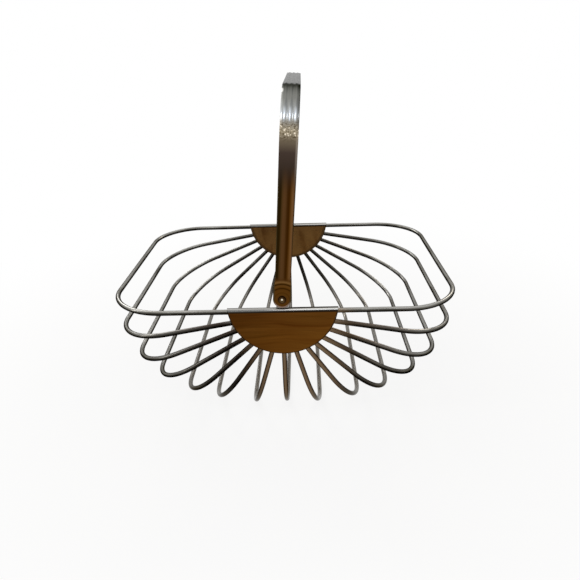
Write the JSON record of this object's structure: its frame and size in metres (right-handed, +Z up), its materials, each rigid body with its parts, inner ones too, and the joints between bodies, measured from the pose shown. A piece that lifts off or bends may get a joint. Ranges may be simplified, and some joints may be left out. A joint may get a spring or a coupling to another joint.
{
  "type": "wire fruit basket",
  "caption": "Open boat-shaped basket of bent wires that fan out from two folded half-moon end plates, with a fluted swing handle riveted to an ear on each plate.",
  "frame": {"origin": "on the table under the middle of the basket", "axes": "+X along the basket's length, +Y from the front end plate to the rear one, +Z up"},
  "size_m": [0.3306, 0.2524, 0.3126],
  "materials": {
    "chrome_wire": "bright plated round wire",
    "end_plate": "brown satin leaves, bright along the fold",
    "ear_steel": "plated flat steel",
    "rivet_steel": "plated domed rivet, brown tinted",
    "handle_strip": "plated fluted strip, brown below and silver above"
  },
  "bodies": {
    "basket": {"left_rim_wire": "chrome_wire", "left_wire_1": "chrome_wire", "left_wire_2": "chrome_wire", "left_wire_3": "chrome_wire", "left_wire_4": "chrome_wire", "left_wire_5": "chrome_wire", "left_wire_6": "chrome_wire", "centre_wire": "chrome_wire", "right_wire_6": "chrome_wire", "right_wire_5": "chrome_wire", "right_wire_4": "chrome_wire", "right_wire_3": "chrome_wire", "right_wire_2": "chrome_wire", "right_wire_1": "chrome_wire", "right_rim_wire": "chrome_wire", "front_end_plate": "end_plate", "rear_end_plate": "end_plate", "front_handle_ear": "ear_steel", "rear_handle_ear": "ear_steel", "front_rivet": "rivet_steel", "rear_rivet": "rivet_steel"},
    "handle": {"swing_handle": "handle_strip"}
  },
  "joints": [
    {"name": "handle_swing", "type": "hinge", "parent": "basket", "child": "handle", "pos_m": [0, 0, 0.1363], "axis": [0, 1, 0], "range_deg": [-95.2, 86.8]}
  ]
}
